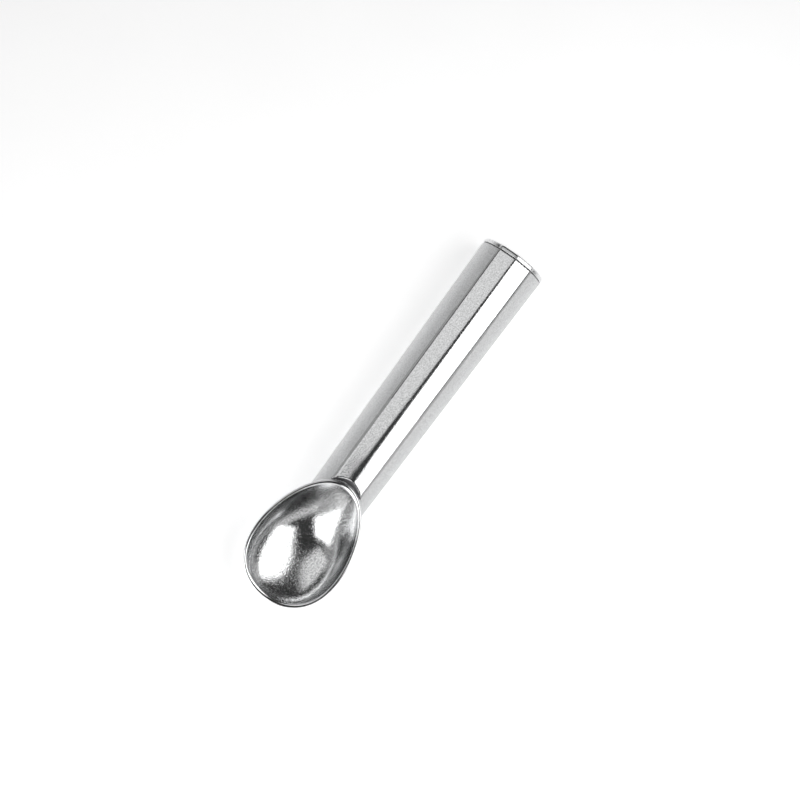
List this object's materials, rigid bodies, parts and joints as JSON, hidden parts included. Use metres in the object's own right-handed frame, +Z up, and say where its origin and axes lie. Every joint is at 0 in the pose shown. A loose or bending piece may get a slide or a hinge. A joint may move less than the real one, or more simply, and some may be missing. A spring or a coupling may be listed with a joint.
{
  "type": "ice cream scoop",
  "caption": "Cast metal ice cream scoop with an egg-shaped bowl and a straight hollow handle that holds a sealed heat-conducting fluid.",
  "frame": {"origin": "middle of the floor under the scoop as it lies on its back, at the centre of its box", "axes": "+X along the handle from the bowl to the end cap, +Y to the left of the handle seen from the end cap, +Z up out of the bowl"},
  "size_m": [0.1838, 0.044, 0.0288],
  "materials": {
    "cast_body": "polished bowl and panel, satin flanks",
    "fluid": "clear liquid",
    "turned_plug": "turned",
    "seal": "matte",
    "cap": "polished"
  },
  "bodies": {
    "root": {"scoop_body": "cast_body", "heat_fluid": "fluid", "end_plug": "turned_plug", "plug_seal": "seal", "end_cap": "cap"}
  },
  "joints": []
}
